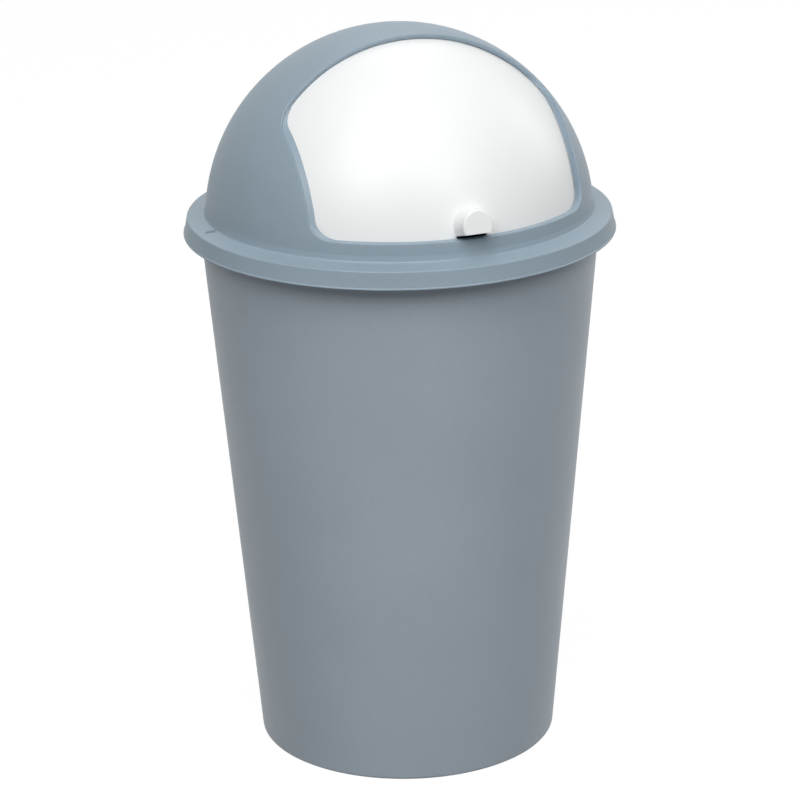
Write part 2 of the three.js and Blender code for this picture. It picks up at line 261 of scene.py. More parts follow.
class StageLook(bpy.types.PropertyGroup):
    """Floor, lamps and camera."""

    floor: tint("Floor", (0.25, 0.25, 0.25), "Colour of the floor under the light")
    floor_half: length("Floor size", 6.0, "Half the width of the floor")
    floor_white: share("Floor white", 0.75, "Share of white that the camera sees on the floor")
    floor_roughness: share("Floor roughness", 0.9, "Roughness of the floor under the light")
    floor_glow: FloatProperty(
        name="Floor glow", description="Strength of the white that the camera sees on the floor",
        default=1.28, min=0.0, subtype="FACTOR",
    )
    sky: share("Sky strength", 0.07, "Strength of the light from all round")
    lens: FloatProperty(
        name="Lens", description="Focal length of the camera", default=148.23, unit="CAMERA"
    )


GROUPS = {
    "waste_bin_bucket": BucketSizes,
    "waste_bin_lid": LidSizes,
    "waste_bin_opening": OpeningSizes,
    "waste_bin_flap": FlapSizes,
    "waste_bin_pull": PullSizes,
    "waste_bin_plastic": PlasticLook,
    "waste_bin_stage": StageLook,
}


# Materials


def socket(node, name, value):
    """Sets one of a node's inputs by its name."""
    node.inputs[name].default_value = value


def noise(nodes, links, place, width, detail):
    """A noise whose spots are about as wide as the width given."""
    spots = nodes.new("ShaderNodeTexNoise")
    socket(spots, "Scale", 1 / width)
    socket(spots, "Detail", detail)
    links.new(place.outputs["Object"], spots.inputs["Vector"])
    return spots.outputs["Fac"]


def shades(nodes, links, fac, low, high):
    """A colour that runs from low to high as a noise does from 0.3 to 0.7."""
    ramp = nodes.new("ShaderNodeValToRGB")
    for element, position, colour in zip(ramp.color_ramp.elements, (0.3, 0.7), (low, high)):
        element.position = position
        element.color = (*colour, 1.0)
    links.new(fac, ramp.inputs["Fac"])
    return ramp.outputs["Color"]


def remap(nodes, links, fac, low, high):
    """A value that runs from low to high as the middle half of a noise does from 0.25 to 0.75."""
    spread = nodes.new("ShaderNodeMapRange")
    for name, value in zip(("From Min", "From Max", "To Min", "To Max"), (0.25, 0.75, low, high)):
        socket(spread, name, value)
    links.new(fac, spread.inputs["Value"])
    return spread.outputs["Result"]


def multiply(nodes, links, first, second):
    """One colour multiplied by another."""
    mix = nodes.new("ShaderNodeMix")
    mix.data_type = "RGBA"
    mix.blend_type = "MULTIPLY"
    socket(mix, "Factor", 1.0)
    links.new(first, mix.inputs["A"])
    links.new(second, mix.inputs["B"])
    return mix.outputs["Result"]


def dimmed(colour, amount):
    """A colour made darker or lighter by a factor."""
    return tuple(min(part * amount, 1.0) for part in colour)


def moulded_plastic(name, colour, roughness, look, vary):
    """Moulded plastic with cloudy colour, fine mottling and the grain of its mould."""
    material = bpy.data.materials.new(name)
    material.use_nodes = True
    nodes, links = material.node_tree.nodes, material.node_tree.links
    shader = nodes["Principled BSDF"]
    place = nodes.new("ShaderNodeTexCoord")
    clouds = noise(nodes, links, place, CLOUD_WIDTH, detail=3.0)
    mottle = noise(nodes, links, place, look.grain * MOTTLE_GRAINS, detail=2.0)
    grain = noise(nodes, links, place, look.grain, detail=3.0)
    darker, lighter = dimmed(colour, 1 - vary["clouds"]), dimmed(colour, 1 + vary["clouds"])
    base = shades(nodes, links, clouds, darker, lighter)
    spots = shades(nodes, links, mottle, dimmed(WHITE[:3], 1 - vary["mottle"]), WHITE[:3])
    links.new(multiply(nodes, links, base, spots), shader.inputs["Base Color"])
    rough = remap(nodes, links, clouds, roughness - vary["gloss"], roughness + vary["gloss"])
    links.new(rough, shader.inputs["Roughness"])
    bump = nodes.new("ShaderNodeBump")
    socket(bump, "Strength", vary["bump"])
    socket(bump, "Distance", look.grain_depth)
    links.new(grain, bump.inputs["Height"])
    links.new(bump.outputs["Normal"], shader.inputs["Normal"])
    socket(shader, "Specular IOR Level", vary["specular"])
    return material


def plastic(context, tone):
    """The plastic of the bucket, the lid or the white flap, made once."""
    name = f"{tone}_plastic"
    look = context.scene.waste_bin_plastic
    made = bpy.data.materials.get(name)
    if made:
        return made
    colour = getattr(look, tone)
    if tone == "white":
        return moulded_plastic(name, colour, look.white_roughness, look, SMOOTH)
    return moulded_plastic(name, colour, look.grey_roughness, look, GRAINED)


# Shared shaping


def finished(context, name, bm, body, node, tone):
    """Turns a shaped mesh into a piece that stands for a CAD node and rides on its body."""
    mesh = bpy.data.meshes.new(name)
    bm.to_mesh(mesh)
    bm.free()
    mesh.shade_smooth()
    mesh.set_sharp_from_angle(angle=SHARP_ANGLE)
    mesh.materials.append(plastic(context, tone))
    piece = bpy.data.objects.new(name, mesh)
    context.scene.collection.objects.link(piece)
    normals = piece.modifiers.new("Even normals", "WEIGHTED_NORMAL")
    normals.keep_sharp = True
    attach(piece, body)
    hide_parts(node)


def scratch_object(context, bm):
    """A mesh as an object that a Boolean can use, to be removed afterwards."""
    mesh = bpy.data.meshes.new("scratch")
    bm.to_mesh(mesh)
    bm.free()
    made = bpy.data.objects.new("scratch", mesh)
    context.scene.collection.objects.link(made)
    return made


def joined_and_cut(context, bm, steps):
    """The mesh after each step of (operation, cutter), as a new bmesh."""
    target = scratch_object(context, bm)
    cutters = []
    for operation, cutter in steps:
        cutters.append(scratch_object(context, cutter))
        modifier = target.modifiers.new(operation, "BOOLEAN")
        modifier.operation = operation
        modifier.solver = "EXACT"
        modifier.object = cutters[-1]
    context.view_layer.update()
    shaped = target.evaluated_get(context.evaluated_depsgraph_get())
    result = bmesh.new()
    result.from_mesh(shaped.to_mesh())
    shaped.to_mesh_clear()
    for used in (target, *cutters):
        mesh = used.data
        bpy.data.objects.remove(used)
        bpy.data.meshes.remove(mesh)
    bmesh.ops.remove_doubles(result, verts=result.verts[:], dist=WELD)
    return result


def bevelled(bm, geometry, width, segments=3, affect="EDGES"):
    """Rounds edges or corners over the width given, apart from any that are gone by now."""
    bmesh.ops.bevel(
        bm, geom=[part for part in geometry if part.is_valid], offset=width, offset_type="OFFSET",
        segments=segments, profile=0.5, affect=affect, material=-1, clamp_overlap=True,
    )


def turned(corners, steps):
    """A closed solid turned about the Z axis from corners of (radius, height, rounding)."""
    bm = bmesh.new()
    profile = [bm.verts.new((out, 0, up)) for out, up, _ in corners]
    for pair in zip(profile, profile[1:]):
        bm.edges.new(pair)
    for vert, (_, _, rounding) in zip(profile, corners):
        if rounding:
            bevelled(bm, [vert], rounding, segments=4, affect="VERTICES")
    bmesh.ops.spin(
        bm, geom=bm.verts[:] + bm.edges[:], cent=(0, 0, 0), axis=(0, 0, 1), dvec=(0, 0, 0),
        angle=2 * pi, steps=steps, use_merge=True,
    )
    bmesh.ops.remove_doubles(bm, verts=bm.verts[:], dist=WELD)
    bmesh.ops.recalc_face_normals(bm, faces=bm.faces[:])
    return bm


def rounded(corners):
    """A line through corners of (x, y, radius), with an arc at each corner that has a radius."""
    line = []
    for i, (x, y, radius) in enumerate(corners):
        corner = Vector((x, y))
        if not radius:
            line.append(corner)
            continue
        back = (Vector(corners[i - 1][:2]) - corner).normalized()
        ahead = (Vector(corners[i + 1][:2]) - corner).normalized()
        half = back.angle(ahead) / 2
        centre = corner + (back + ahead).normalized() * (radius / sin(half))
        start = (corner + back * (radius / tan(half)) - centre).normalized()
        end = (corner + ahead * (radius / tan(half)) - centre).normalized()
        line += [
            centre + start.slerp(end, k / CORNER_STEPS).normalized() * radius
            for k in range(CORNER_STEPS + 1)
        ]
    return line


def spread(line, count):
    """The line's points spread evenly along it, in so many steps."""
    points = np.array([tuple(point) for point in line])
    along = np.concatenate([[0], np.cumsum(np.linalg.norm(np.diff(points, axis=0), axis=1))])
    wanted = np.linspace(0, along[-1], count + 1)
    return [Vector(row) for row in np.column_stack([np.interp(wanted, along, c) for c in points.T])]


def next_ring(bm, ring, points):
    """Extrudes a ring of edges into a row of faces, whose far edge takes the points given."""
    grown = bmesh.ops.extrude_edge_only(bm, edges=ring)["geom"]
    column = bm.verts.layers.int["column"]
    for vert in grown:
        if isinstance(vert, bmesh.types.BMVert):
            vert.co = points[vert[column]]
    return [edge for edge in grown if isinstance(edge, bmesh.types.BMEdge)]


def first_ring(bm, points):
    """A closed ring of edges through the points, whose columns are numbered."""
    column = bm.verts.layers.int.new("column")
    circle = bmesh.ops.create_circle(bm, cap_ends=False, radius=1, segments=len(points))
    for i, vert in enumerate(circle["verts"]):
        vert[column] = i
        vert.co = points[i]
    return bm.edges[:]


# Bucket


class WASTEBIN_OT_bucket(bpy.types.Operator):
    """Turns the tapered bucket with its foot ring and turned-out rim"""

    bl_idname = "waste_bin.bucket"
    bl_label = "Bucket"

    def execute(self, context):
        size = context.scene.waste_bin_bucket
        slope = context.scene.waste_bin_lid.flange_slope

        def wall_radius(height):
            lean = (size.mouth_radius - size.foot_radius) / size.height
            return size.foot_radius + lean * height

        def rim_top(radius):
            return size.height - slope * (radius - size.mouth_radius)

        def rim_under(radius):
            return rim_top(radius) - size.rim_thickness

        foot_inner = size.foot_radius - size.foot_rounding - size.ring_width
        lip_inner = size.rim_radius - size.rim_lip
        lip_bottom = rim_top(size.rim_radius) - size.rim_drop
        mouth_inner = size.mouth_radius - size.wall
        neck_height = rim_under(size.mouth_radius)
        hollow_rounding = 0.001
        bm = turned(
            [
                (0, size.recess, 0),
                (foot_inner, size.recess, size.recess / 4),
                (foot_inner, 0, size.recess / 8),
                (size.foot_radius, 0, size.foot_rounding),
                (wall_radius(neck_height), neck_height, hollow_rounding),
                (lip_inner, rim_under(lip_inner), hollow_rounding),
                (lip_inner, lip_bottom, size.rim_rounding),
                (size.rim_radius, lip_bottom, size.rim_rounding),
                (size.rim_radius, rim_top(size.rim_radius), size.rim_rounding),
                (mouth_inner, rim_top(mouth_inner), size.rim_rounding),
                (wall_radius(size.floor_top) - size.wall, size.floor_top, size.floor_rounding),
                (0, size.floor_top, 0),
            ],
            BUCKET_STEPS,
        )
        finished(context, "bucket", bm, "bin", "bin_body", "bucket")
        return {"FINISHED"}


# Lid


def on_ball(centre, radius, x, y=None, z=None):
    """A point on a ball about the centre, from x and one of y in front or z above it."""
    if y is None:
        return centre + Vector((x, -sqrt(radius**2 - x**2 - z**2), z))
    return centre + Vector((x, y, sqrt(radius**2 - x**2 - y**2)))


def opening_ring(lid, size, lean, depth, grow=0.0):
    """The opening's edge, one point for each column of the lid.

    Lean and depth are the shares of the lip's lean and depth at which the edge is, and grow makes
    it wider all round. Its back edge is a bowed line seen from above, and its sides and sill are
    straight lines seen from the front.
    """
    centre = Vector((0, 0, lid.pivot_height))
    radius = lid.dome_radius - size.lip_depth * depth
    wide = size.half_width - size.side_step * lean + grow
    low = size.sill + size.sill_step * lean - grow
    back = size.back - size.back_step * lean - grow
    bow = size.bow - size.bow_step * lean
    bow_power = 2.9
    top = -(back + bow)
    upper, lower = size.upper_corner + grow, size.lower_corner + grow
    shares = [tenths / 10 for tenths in range(8, -1, -1)]
    over = rounded(
        [(wide, -radius, 0), (wide, top, upper)]
        + [(wide * part, -(back + bow * part**bow_power), 0) for part in shares]
    )[1:]
    front = rounded([(0, low, 0), (wide, low, lower), (wide, radius, 0)])[:-1]
    mid = CORNER_STEPS // 2
    sill = [on_ball(centre, radius, x, z=z) for x, z in front[: 2 + mid]]
    flat = [on_ball(centre, radius, front[1].x * k / LINE_STEPS, z=low) for k in range(LINE_STEPS)]
    sill = flat + sill[1:]
    side = [on_ball(centre, radius, x, z=z) for x, z in front[1 + mid :]]
    ring_radius = sqrt(radius**2 - wide**2)
    start, end = asin(front[-1].y / ring_radius), acos(-over[0].y / ring_radius)
    for k in range(1, LINE_STEPS):
        angle = start + (end - start) * k / LINE_STEPS
        side.append(centre + Vector((wide, -ring_radius * cos(angle), ring_radius * sin(angle))))
    side += [on_ball(centre, radius, x, y) for x, y in over[: 1 + mid]]
    rear = [on_ball(centre, radius, x, y) for x, y in over[mid:]]
    dense = []
    for first, second in zip(rear, rear[1:]):
        steps = max(1, round((second - first).length / BACK_STEP))
        for k in range(steps):
            way = (first - centre).slerp(second - centre, k / steps).normalized()
            dense.append(centre + way * radius)
    rear = dense + [rear[-1]]
    half = []
    for line, count in zip((sill, side, rear), OPENING_COLUMNS):
        half += spread(line, count)[:-1]
    half.append(rear[-1])
    right = [centre + (point - centre).normalized() * radius for point in half]
    left = [Vector((-point.x, point.y, point.z)) for point in right[1:-1]]
    return right + left[::-1]


def level_ring(radius, height):
    """A level circle, one point for each column of the lid."""
    turns = (2 * pi * column / LID_COLUMNS for column in range(LID_COLUMNS))
    return [Vector((radius * sin(turn), -radius * cos(turn), height)) for turn in turns]


def between_rings(centre, radius, first, last, count):
    """Rings on a ball that lead from one ring to another along great circles."""
    rings = []
    for k in range(1, count):
        rings.append([
            centre + (a - centre).slerp(b - centre, k / count).normalized() * radius
            for a, b in zip(first, last)
        ])
    return rings


def rod(radius, start, end, side, height):
    """A rod on the pivot line between two distances from the middle, on one side."""
    bm = bmesh.new()
    bmesh.ops.create_cone(
        bm, cap_ends=True, segments=PIN_STEPS, radius1=radius, radius2=radius, depth=end - start
    )
    bmesh.ops.rotate(bm, verts=bm.verts, cent=(0, 0, 0), matrix=Matrix.Rotation(pi / 2, 3, "Y"))
    bmesh.ops.translate(bm, verts=bm.verts, vec=(side * (start + end) / 2, 0, height))
    return bm


def block(low, high):
    """A box between two corners."""
    bm = bmesh.new()
    low, high = Vector(low), Vector(high)
    bmesh.ops.create_cube(bm, size=1)
    bmesh.ops.scale(bm, verts=bm.verts, vec=high - low)
    bmesh.ops.translate(bm, verts=bm.verts, vec=(low + high) / 2)
    return bm


def pivot_steps(lid, flap, flange_low, flange_high):
    """The steps that give the lid a boss, a bore for the pin and a slot on each side."""
    boss_gap = 0.0005
    bore_gap = 0.0002
    cut_past = 0.006
    slot_out = 0.0055
    slot_over = 0.003
    outer = lid.dome_radius
    inner = outer - lid.dome_wall
    steps = []
    for side in (-1, 1):
        boss_start, boss_end = flap.radius + boss_gap, (outer + inner) / 2
        boss = rod(flap.boss_radius, boss_start, boss_end, side, lid.pivot_height)
        steps.append(("UNION", boss))
    for side in (-1, 1):
        bore_radius, bore_end = flap.pin_radius + bore_gap, outer + cut_past
        bore = rod(bore_radius, flap.radius, bore_end, side, lid.pivot_height)
        steps.append(("DIFFERENCE", bore))
        half_length, half_width = lid.slot_length / 2, lid.slot_width / 2
        slot = block(
            (-half_length, -half_width, flange_low - cut_past),
            (half_length, half_width, flange_high + slot_over),
        )
        turn = Matrix.Rotation(side * lid.slot_turn, 4, "Z")
        place = Matrix.Translation((side * (outer + slot_out), -lid.slot_forward, 0))
        bmesh.ops.transform(slot, matrix=place @ turn, verts=slot.verts)
        steps.append(("DIFFERENCE", slot))
    return steps


class WASTEBIN_OT_lid(bpy.types.Operator):
    """Raises the dome lid ring by ring, with its flange, skirt, collar and opening"""

    bl_idname = "waste_bin.lid"
    bl_label = "Dome lid"

    def execute(self, context):
        lid = context.scene.waste_bin_lid
        opening = context.scene.waste_bin_opening
        bucket = context.scene.waste_bin_bucket
        flap = context.scene.waste_bin_flap
        centre = Vector((0, 0, lid.pivot_height))
        outer, inner = lid.dome_radius, lid.dome_radius - lid.dome_wall

        def flange_under(radius):
            return bucket.height - lid.flange_slope * (radius - bucket.mouth_radius) + lid.seat_gap

        def flange_top(radius):
            return flange_under(radius) + lid.flange_wall

        bead_radius = lid_high.x - BOX_MARGIN
        skirt_radius = bead_radius - lid.bead_reach
        skirt_bottom = flange_top(lid.crease_radius) - lid.skirt_height
        skirt_inner = lid.crease_radius - lid.skirt_wall
        foot_height = flange_top(outer)
        foot_angle = asin((foot_height - lid.pivot_height) / outer)
        foot_radius = outer * cos(foot_angle) + lid.foot_reach

        # Room for the hollow at the dome's foot and for the rounding of the opening's edge
        foot_room = radians(1.6)
        edge_room = 0.003

        def latitude(radius, angle):
            return level_ring(radius * cos(angle), lid.pivot_height + radius * sin(angle))

        bm = bmesh.new()
        start = latitude(inner, 0)
        ring = first_ring(bm, start)
        for radius, height in (
            (inner, lid.collar_bottom),
            (outer, lid.collar_bottom),
            (outer, flange_under(outer)),
            (skirt_inner, flange_under(skirt_inner)),
            (skirt_radius - lid.skirt_wall, skirt_bottom),
        ):
            ring = next_ring(bm, ring, level_ring(radius, height))
        bead_edges = []
        for radius, height in (
            (bead_radius, 0),
            (bead_radius, lid.bead_height),
            (skirt_radius, lid.bead_height + lid.bead_reach),
        ):
            ring = next_ring(bm, ring, level_ring(radius, skirt_bottom + height))
            bead_edges.append(ring)
        crease = next_ring(bm, ring, level_ring(lid.crease_radius, flange_top(lid.crease_radius)))
        foot = next_ring(bm, crease, level_ring(foot_radius, foot_height - lid.foot_drop))
        lowest = latitude(outer, foot_angle + foot_room)
        ring = next_ring(bm, foot, lowest)
        highest = opening_ring(lid, opening, 0, 0, grow=edge_room)
        for points in between_rings(centre, outer, lowest, highest, DOME_ROWS):
            ring = next_ring(bm, ring, points)
        ring = next_ring(bm, ring, highest)
        edge = next_ring(bm, ring, opening_ring(lid, opening, 0, 0))
        ledge = next_ring(
            bm, edge, opening_ring(lid, opening, opening.ledge_step, opening.ledge_depth)
        )
        lip = next_ring(bm, ledge, opening_ring(lid, opening, 1, 1))
        ring = next_ring(bm, lip, opening_ring(lid, opening, 1, 1, grow=opening.lip_root))
        skin_share = lid.dome_wall / opening.lip_depth
        lining = opening_ring(lid, opening, skin_share, skin_share, grow=opening.lip_root)
        ring = next_ring(bm, ring, lining)
        for points in between_rings(centre, inner, lining, start, LINING_ROWS):
            ring = next_ring(bm, ring, points)
        next_ring(bm, ring, start)
        bmesh.ops.remove_doubles(bm, verts=bm.verts[:], dist=WELD)
        bmesh.ops.recalc_face_normals(bm, faces=bm.faces[:])
        bevelled(bm, edge, opening.edge_bevel)
        bevelled(bm, ledge, opening.ledge_bevel)
        bevelled(bm, lip, opening.ledge_bevel)
        bevelled(bm, crease, lid.crease_bevel, segments=5)
        for bead_edge in bead_edges[:2]:
            bevelled(bm, bead_edge, lid.skirt_bevel)
        bevelled(bm, foot, lid.foot_fillet, segments=6)
        steps = pivot_steps(lid, flap, flange_under(outer), flange_top(outer))
        bm = joined_and_cut(context, bm, steps)
        finished(context, "dome_lid_moulding", bm, "lid", "dome_lid", "lid")
        return {"FINISHED"}


# Flap, pull and pins


def flap_angles(lid, opening, flap):
    """The elevations of the flap's lower and upper edges about the pivot line."""
    lip_radius = lid.dome_radius - opening.lip_depth
    low = asin((opening.sill + opening.sill_step) / lip_radius) - flap.under_sill / flap.radius
    high = acos((opening.back - opening.back_step) / lip_radius) + flap.under_back / flap.radius
    return low, high


def arch_points(half_width, bottom, top, distance):
    """An arch across the pull's axis: half round above, open below, and its sides turn in below."""
    middle = top - half_width
    side = []
    for k in range(SIDE_STEPS):
        down = 1 - k / SIDE_STEPS
        side.append((half_width * (1 - SIDE_TURN_IN * down**2), middle + (bottom - middle) * down))
    arc = [pi * k / ARCH_STEPS for k in range(ARCH_STEPS + 1)]
    line = side + [(half_width * cos(turn), middle + half_width * sin(turn)) for turn in arc]
    line += [(-out, up) for out, up in reversed(side)]
    return [Vector((out, up, distance)) for out, up in line]


def on_shell(arch, radius):
    """The arch laid on a ball about the pivot's middle."""
    return [Vector((p.x, p.y, sqrt(radius**2 - p.x**2 - p.y**2))) for p in arch]


def between(near, far, radius):
    """The arch where the lines from one arch to another pass through a ball."""
    arch = []
    for start, end in zip(near, far):
        way = end - start
        half = start.dot(way)
        gap = radius**2 - start.length_squared
        reach = (sqrt(half**2 + way.length_squared * gap) - half) / way.length_squared
        arch.append(start + way * reach)
    return arch


class PullShape:
    """Where the pull's axis runs, and the half width, bottom and top of each arch across it."""

    def __init__(self, scene):
        lid, opening = scene.waste_bin_lid, scene.waste_bin_opening
        flap, pull = scene.waste_bin_flap, scene.waste_bin_pull
        lip_radius = lid.dome_radius - opening.lip_depth
        stop_gap = 0.0004
        sill_angle = asin((opening.sill + opening.sill_step + stop_gap) / lip_radius)
        tilt = sill_angle + pull.base_height / 2 / flap.radius
        turn = Matrix.Rotation(pi / 2 - tilt, 4, "X")
        self.place = Matrix.Translation((0, 0, lid.pivot_height)) @ turn
        self.face = flap.radius + pull.reach
        self.inner = flap.radius - flap.wall
        half_height = pull.base_height / 2
        self.base = (pull.base_half_width, pull.base_lift - half_height, half_height)
        self.front = (pull.face_half_width, -pull.face_height / 2, pull.face_height / 2)
        window_lap = 0.0009
        window_drop = 0.0042
        self.window = (self.base[0] - window_lap, self.base[1], half_height - window_lap)
        self.window_foot = -half_height - window_drop

    def floor(self, distance):
        """How low the pull reaches at a distance along its axis."""
        part = max(0, (distance - self.inner) / (self.face - self.inner))
        return self.base[1] + (self.front[1] - self.base[1]) * part


class WASTEBIN_OT_flap(bpy.types.Operator):
    """Spins the curved flap with its two ears, and cuts the window behind the pull"""

    bl_idname = "waste_bin.flap"
    bl_label = "Flap"

    def execute(self, context):
        scene = context.scene
        lid, opening, flap = scene.waste_bin_lid, scene.waste_bin_opening, scene.waste_bin_flap
        centre = (0, 0, lid.pivot_height)
        low, high = flap_angles(lid, opening, flap)
        hole, ear = asin(flap.ear_hole / flap.radius), asin(flap.ear_radius / flap.radius)
        turns = [hole + (ear - hole) * k / EAR_ACROSS for k in range(EAR_ACROSS)]
        turns += [ear + (pi - 2 * ear) * k / FLAP_ACROSS for k in range(FLAP_ACROSS)]
        turns += [pi - ear + (ear - hole) * k / EAR_ACROSS for k in range(EAR_ACROSS + 1)]
        rim_angle = radians(60)
        window_reach = 0.006

        def at(turn):
            out = flap.radius * sin(turn)
            return (-flap.radius * cos(turn), -out * cos(low), centre[2] + out * sin(low))

        bm = bmesh.new()
        line = [bm.verts.new(at(turn)) for turn in turns]
        edges = [bm.edges.new(pair) for pair in zip(line, line[1:])]
        ears = bmesh.new()
        for part in (turns[: EAR_ACROSS + 1], turns[-EAR_ACROSS - 1 :]):
            points = [ears.verts.new(at(turn)) for turn in part]
            for pair in zip(points, points[1:]):
                ears.edges.new(pair)
        bmesh.ops.spin(
            bm, geom=line + edges, cent=centre, axis=(-1, 0, 0), dvec=(0, 0, 0),
            angle=high - low, steps=FLAP_ALONG, use_merge=False,
        )
        bmesh.ops.spin(
            ears, geom=ears.verts[:] + ears.edges[:], cent=centre, axis=(1, 0, 0),
            dvec=(0, 0, 0), angle=2 * pi - high + low, steps=EAR_ROUND, use_merge=False,
        )
        ear_mesh = bpy.data.meshes.new("ears")
        ears.to_mesh(ear_mesh)
        ears.free()
        bm.from_mesh(ear_mesh)
        bpy.data.meshes.remove(ear_mesh)
        bmesh.ops.remove_doubles(bm, verts=bm.verts[:], dist=WELD)
        bmesh.ops.recalc_face_normals(bm, faces=bm.faces[:])
        middle = Vector(centre)
        if sum(face.normal.dot(face.calc_center_median() - middle) for face in bm.faces) < 0:
            bmesh.ops.reverse_faces(bm, faces=bm.faces[:])
        bmesh.ops.solidify(bm, geom=bm.faces[:], thickness=flap.wall)
        bmesh.ops.recalc_face_normals(bm, faces=bm.faces[:])
        rim = [e for e in bm.edges if e.is_manifold and e.calc_face_angle() > rim_angle]
        bevelled(bm, rim, flap.edge_bevel, segments=2)
        shape = PullShape(scene)
        points = arch_points(*shape.window, shape.inner - window_reach)
        for foot in (points[-1], points[0]):
            points.append(Vector((foot.x, shape.window_foot, foot.z)))
        window = bmesh.new()
        ring = first_ring(window, points)
        bmesh.ops.contextual_create(window, geom=ring)
        through = Vector((0, 0, flap.radius - shape.inner + 2 * window_reach))
        ring = next_ring(window, ring, [point + through for point in points])
        bmesh.ops.contextual_create(window, geom=ring)
        bmesh.ops.recalc_face_normals(window, faces=window.faces[:])
        bmesh.ops.transform(window, matrix=shape.place, verts=window.verts)
        bm = joined_and_cut(context, bm, [("DIFFERENCE", window)])
        finished(context, "flap_shell", bm, "flap", "sliding_flap", "white")
        return {"FINISHED"}


class WASTEBIN_OT_pull(bpy.types.Operator):
    """Shapes the arched finger pull, hollow and open below, with its neck and hook"""

    bl_idname = "waste_bin.pull"
    bl_label = "Finger pull"

    def execute(self, context):
        scene = context.scene
        flap, pull = scene.waste_bin_flap, scene.waste_bin_pull
        shape = PullShape(scene)
        seat_gap = 0.0003
        neck_gap = 0.0003
        hook_reach = 0.0014
        hook_thickness = 0.0012
        base_wall = 0.0023
        seat = flap.radius + seat_gap
        hook_front = shape.inner - seat_gap
        hook_back = hook_front - hook_thickness
        half, bottom, top = shape.window

        front = arch_points(*shape.front, shape.face)
        neck = arch_points(half - neck_gap, bottom, top - neck_gap, 0)
        hook = arch_points(half + hook_reach, bottom, top + hook_reach, 0)
        hollow_half, hollow_top = shape.base[0] - base_wall, shape.base[2] - base_wall
        hollow = arch_points(hollow_half, bottom, hollow_top, 0)
        hollow_face = shape.face - pull.wall
        rings = [
            between(arch_points(*shape.base, shape.inner), front, seat),
            on_shell(neck, seat),
            on_shell(neck, hook_front),
            on_shell(hook, hook_front),
            on_shell(hook, hook_back),
            on_shell(hollow, hook_back),
            arch_points(hollow_half, shape.floor(flap.radius), hollow_top, flap.radius),
            arch_points(
                shape.front[0] - pull.wall, shape.floor(hollow_face), shape.front[2] - pull.wall,
                hollow_face,
            ),
        ]
        bm = bmesh.new()
        ring = first_ring(bm, front)
        bmesh.ops.contextual_create(bm, geom=ring)
        foot = shape.front[1] + WELD
        face_rim = [edge for edge in ring if max(vert.co.y for vert in edge.verts) > foot]
        line = face_rim
        for points in rings:
            line = next_ring(bm, line, points)
        verts = dict.fromkeys(vert for edge in line for vert in edge.verts)
        ends = [vert for vert in verts if len(vert.link_edges) == 2]
        line += bmesh.ops.contextual_create(bm, geom=ends)["edges"]
        bmesh.ops.contextual_create(bm, geom=line)
        bmesh.ops.holes_fill(bm, edges=[edge for edge in bm.edges if edge.is_boundary], sides=0)
        bmesh.ops.recalc_face_normals(bm, faces=bm.faces[:])
        bevelled(bm, face_rim, pull.face_bevel, segments=5)
        bmesh.ops.transform(bm, matrix=shape.place, verts=bm.verts)
        finished(context, "finger_pull_hood", bm, "flap", "finger_pull", "white")
        return {"FINISHED"}


class WASTEBIN_OT_pins(bpy.types.Operator):
    """Turns the two pins that the flap rolls back on"""

    bl_idname = "waste_bin.pins"
    bl_label = "Pivot pins"

    def execute(self, context):
        scene = context.scene
        lid, flap = scene.waste_bin_lid, scene.waste_bin_flap
        head_gap = 0.0007
        head_thickness = 0.002
        tip_gap = 0.0003
        tip_thickness = 0.001
        edge = 0.0003
        head_face = flap.radius - flap.wall - head_gap
        head_back = head_face - head_thickness
        tip_from = lid.dome_radius + tip_gap
        tip_to = tip_from + tip_thickness
        for side, name in ((-1, "left"), (1, "right")):
            bm = turned(
                [
                    (0, head_back, 0),
                    (flap.pin_head, head_back, edge * 2),
                    (flap.pin_head, head_face, edge),
                    (flap.pin_radius, head_face, 0),
                    (flap.pin_radius, tip_from, 0),
                    (flap.pin_tip, tip_from, edge),
                    (flap.pin_tip, tip_to, edge * 2),
                    (0, tip_to, 0),
                ],
                PIN_STEPS,
            )
            turn = Matrix.Rotation(side * pi / 2, 3, "Y")
            bmesh.ops.rotate(bm, verts=bm.verts, cent=(0, 0, 0), matrix=turn)
            bmesh.ops.translate(bm, verts=bm.verts, vec=(0, 0, lid.pivot_height))
            finished(context, f"pin_{name}", bm, "lid", f"pivot_pin_{name}", "lid")
        return {"FINISHED"}


# Stage


def area_lamp(context, name, place, power):
    """A soft square lamp that shines from a place at the lamps' shared target."""
    data = bpy.data.lights.new(name, "AREA")
    data.shape = "SQUARE"
    data.size = LAMP_SIZE
    data.energy = power
    lamp = bpy.data.objects.new(name, data)
    context.scene.collection.objects.link(lamp)
    lamp.location = place
    way = Vector(LAMP_TARGET) - Vector(place)
    lamp.rotation_euler = way.to_track_quat("-Z", "Y").to_euler()


def shown_rays(nodes, links):
    """A value of 1 on rays that show the background: camera, glossy and transmission rays."""
    path = nodes.new("ShaderNodeLightPath")
    total = path.outputs["Is Camera Ray"]
    for name in ("Is Glossy Ray", "Is Transmission Ray"):
        larger = nodes.new("ShaderNodeMath")
        larger.operation = "MAXIMUM"
        links.new(total, larger.inputs[0])
        links.new(path.outputs[name], larger.inputs[1])
        total = larger.outputs["Value"]
    return total


def shown_instead(nodes, links, usual, shown, factor):
    """The usual shader mixed with the one that is shown instead, by a factor."""
    mix = nodes.new("ShaderNodeMixShader")
    links.new(factor, mix.inputs["Fac"])
    links.new(usual, mix.inputs[1])
    links.new(shown.outputs[0], mix.inputs[2])
    return mix.outputs["Shader"]


